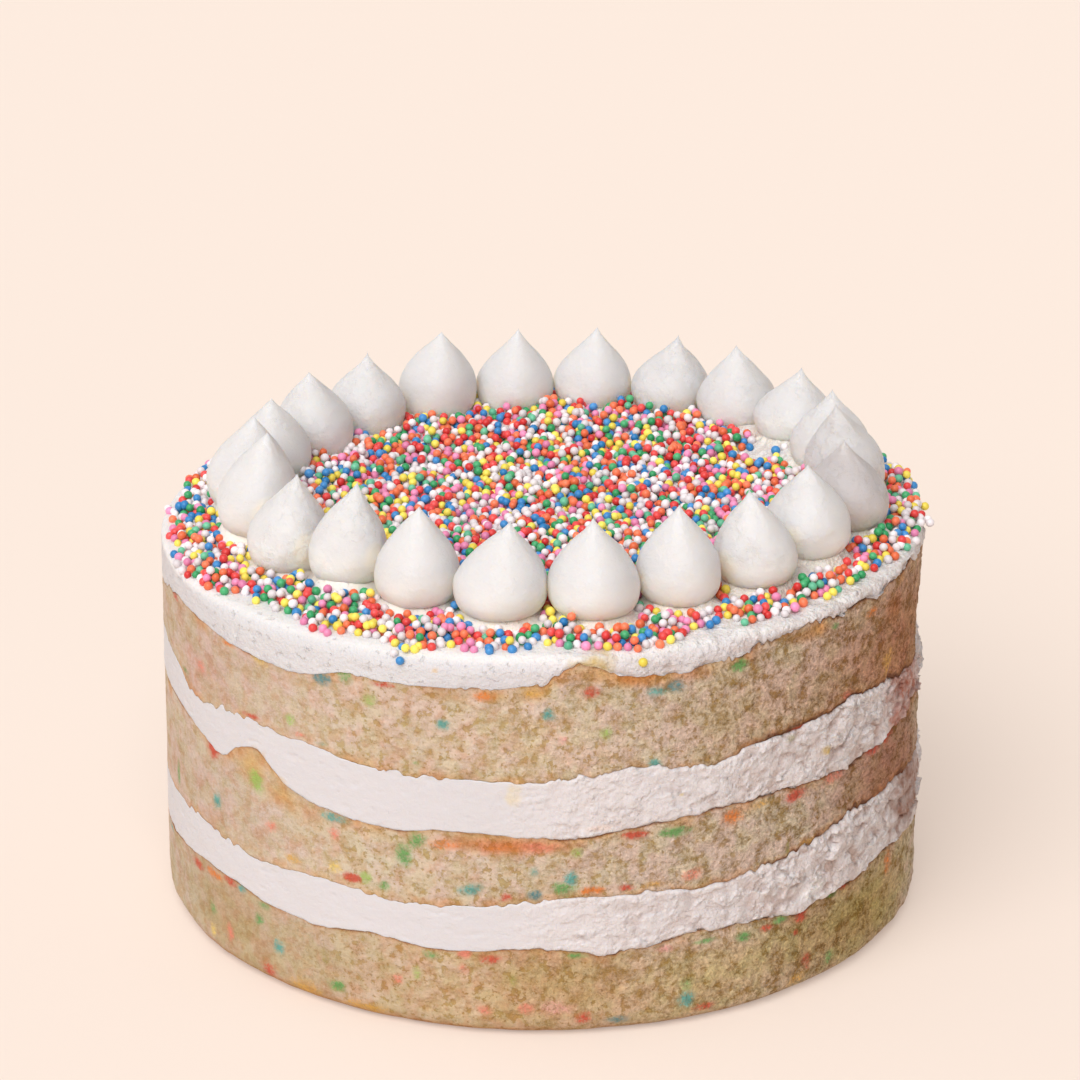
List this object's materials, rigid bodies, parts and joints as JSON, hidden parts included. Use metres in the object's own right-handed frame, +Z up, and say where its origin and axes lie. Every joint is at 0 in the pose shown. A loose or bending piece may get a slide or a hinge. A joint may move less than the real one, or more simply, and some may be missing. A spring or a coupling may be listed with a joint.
{
  "type": "birthday layer cake",
  "caption": "Round layer cake with bare sides that show sponge and cream filling, a beaded cream top and a ring of piped cream dollops.",
  "frame": {"origin": "centre of the flat base, on the surface the cake stands on", "axes": "+Z up, -Y towards the front, +X to the right seen from the front"},
  "size_m": [0.1518, 0.1522, 0.0988],
  "materials": {
    "sponge": "open matte crumb with coloured confetti",
    "cream": "soft satin spread cream",
    "topping": "spread cream strewn with satin sugar beads",
    "dollop_cream": "smooth satin piped cream"
  },
  "bodies": {
    "root": {"sponge_bottom": "sponge", "filling_lower": "cream", "sponge_middle": "sponge", "filling_upper": "cream", "sponge_top": "sponge", "topping": "topping", "dollop_01": "dollop_cream", "dollop_02": "dollop_cream", "dollop_03": "dollop_cream", "dollop_04": "dollop_cream", "dollop_05": "dollop_cream", "dollop_06": "dollop_cream", "dollop_07": "dollop_cream", "dollop_08": "dollop_cream", "dollop_09": "dollop_cream", "dollop_10": "dollop_cream", "dollop_11": "dollop_cream", "dollop_12": "dollop_cream", "dollop_13": "dollop_cream", "dollop_14": "dollop_cream", "dollop_15": "dollop_cream", "dollop_16": "dollop_cream", "dollop_17": "dollop_cream", "dollop_18": "dollop_cream", "dollop_19": "dollop_cream", "dollop_20": "dollop_cream", "dollop_21": "dollop_cream", "dollop_22": "dollop_cream"}
  },
  "joints": []
}
